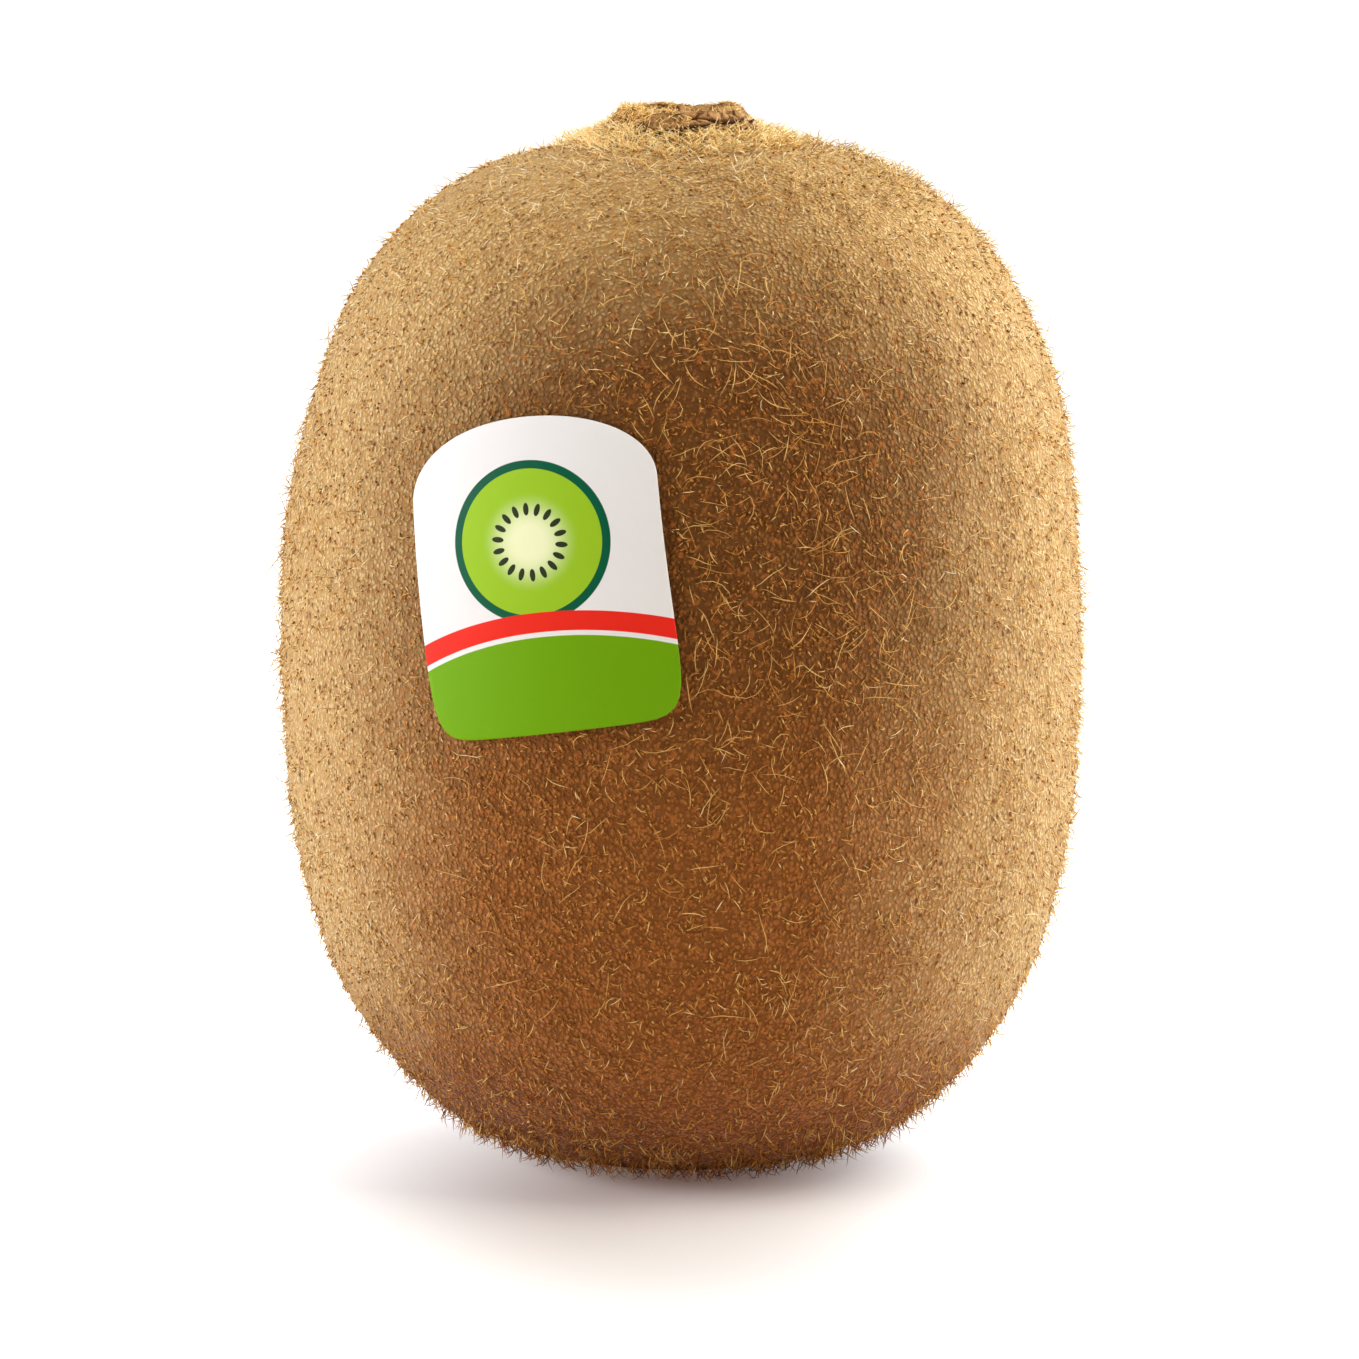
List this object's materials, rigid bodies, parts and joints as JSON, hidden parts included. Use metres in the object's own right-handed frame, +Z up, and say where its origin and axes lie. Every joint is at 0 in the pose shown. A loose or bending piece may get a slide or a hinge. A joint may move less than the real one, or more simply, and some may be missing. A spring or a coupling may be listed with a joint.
{
  "type": "kiwi fruit",
  "caption": "Whole ripe green kiwi fruit with fuzzy brown skin, a dry calyx on its stem button and a plain paper produce label, standing on its blossom end.",
  "frame": {"origin": "middle of the flat spot at the blossom end, on the surface that the fruit rests on", "axes": "+Z up along the fruit's core towards the stem end, -Y towards the side with the label, +X to the right of someone who looks at the label"},
  "size_m": [0.0506, 0.0482, 0.0672],
  "materials": {
    "kiwi_skin": "matt brown skin under short fuzz",
    "dry_sepal": "dry, papery, dark brown",
    "scar_wood": "dry woody scar",
    "dry_style": "dry, dark brown",
    "label_paper": "satin film, printed white and green"
  },
  "bodies": {
    "root": {"fruit_body": "kiwi_skin", "dry_calyx": "dry_sepal", "stalk_scar": "scar_wood", "dry_styles": "dry_style", "produce_label": "label_paper"}
  },
  "joints": []
}
